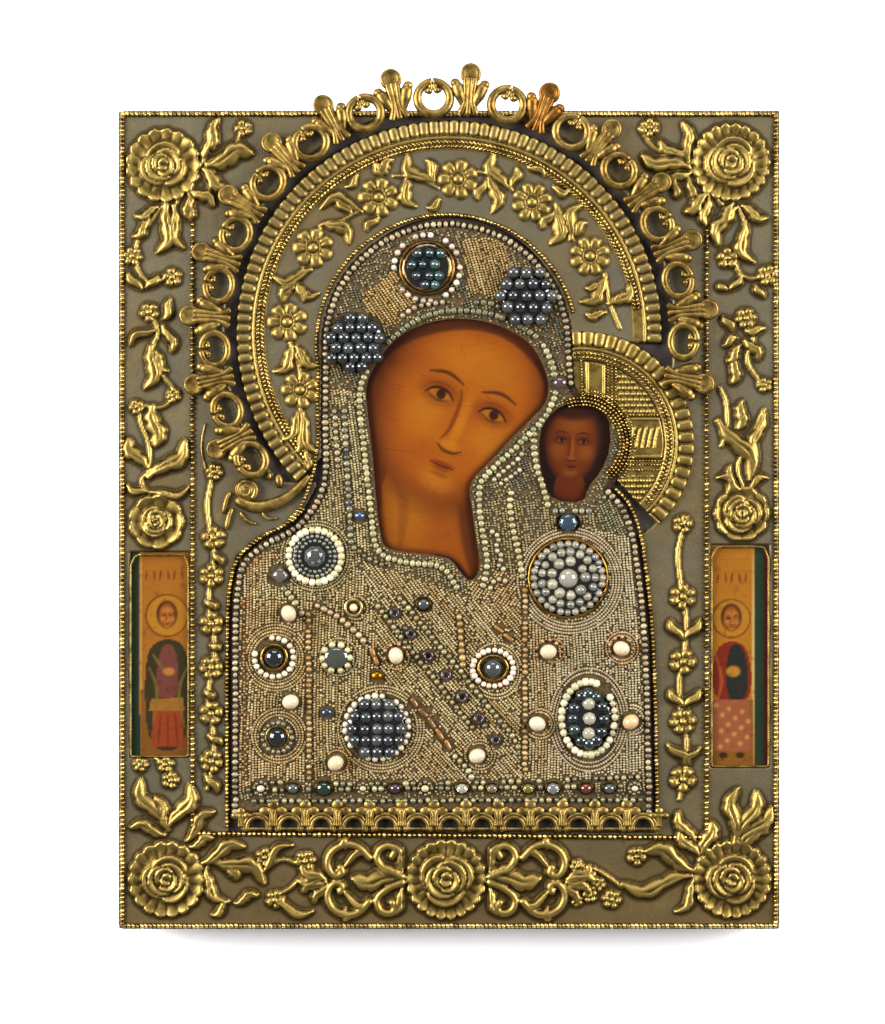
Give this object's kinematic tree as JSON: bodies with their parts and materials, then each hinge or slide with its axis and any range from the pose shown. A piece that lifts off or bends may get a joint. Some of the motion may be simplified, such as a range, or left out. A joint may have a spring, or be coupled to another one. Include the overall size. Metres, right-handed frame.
{
  "type": "icon panel",
  "caption": "Painted wooden icon panel with a gilt repousse cover, haloes, a cast crown of rings and trefoils, and a robe sewn with beads, pearls and stones.",
  "frame": {"origin": "middle of the board's flat back", "axes": "+Z out of the picture's front, +Y towards the picture's top; the panel lies on its back"},
  "size_m": [0.2514, 0.3292, 0.0338],
  "materials": {
    "painted_wood": "bare wood behind, varnished paint in front",
    "gilt_sheet": "repousse sheet, bright gilt relief on a grey worn ground",
    "cast_gilt": "cast openwork, gilt, browned in the hollows",
    "beadwork": "cloth sewn all over with cream and gold seed beads",
    "pearl": "pearls, lustrous cream",
    "glass_stone": "polished glass stones and beads, mostly dark blue and grey"
  },
  "bodies": {
    "root": {"icon_board": "painted_wood", "border_cover": "gilt_sheet", "nimbus": "gilt_sheet", "child_nimbus": "gilt_sheet", "halo_crown": "cast_gilt", "horn_scroll": "cast_gilt", "hem_arcade": "cast_gilt", "robe": "beadwork", "robe_pearl_row": "pearl", "star_brooch": "pearl", "crystal_brooch": "glass_stone", "oval_brooch": "glass_stone", "rosette_brooch": "glass_stone", "left_head_cluster": "glass_stone", "right_head_cluster": "glass_stone", "dark_cluster": "glass_stone", "upper_cabochon": "glass_stone", "lower_cabochon": "glass_stone", "sleeve_cabochon": "glass_stone", "square_stone": "glass_stone", "oval_blue_stone": "glass_stone", "pearl_1": "pearl", "pearl_2": "pearl", "pearl_3": "pearl", "pearl_4": "pearl", "pearl_5": "pearl", "pearl_6": "pearl", "pearl_7": "pearl", "pearl_8": "pearl", "pearl_9": "pearl", "hem_stone_1": "glass_stone", "hem_stone_2": "glass_stone", "hem_stone_3": "glass_stone", "hem_stone_4": "glass_stone", "hem_stone_5": "glass_stone", "hem_stone_6": "glass_stone", "hem_stone_7": "glass_stone", "hem_stone_8": "glass_stone", "hem_stone_9": "glass_stone", "hem_stone_10": "glass_stone", "hem_stone_11": "glass_stone", "hem_stone_12": "glass_stone", "hem_stone_13": "glass_stone", "blue_neck_stone": "glass_stone", "green_stone": "glass_stone", "ringed_pearl": "pearl", "dark_stone": "glass_stone", "blue_sleeve_stone": "glass_stone", "purple_head_stone": "glass_stone", "brass_oval": "cast_gilt"}
  },
  "joints": []
}
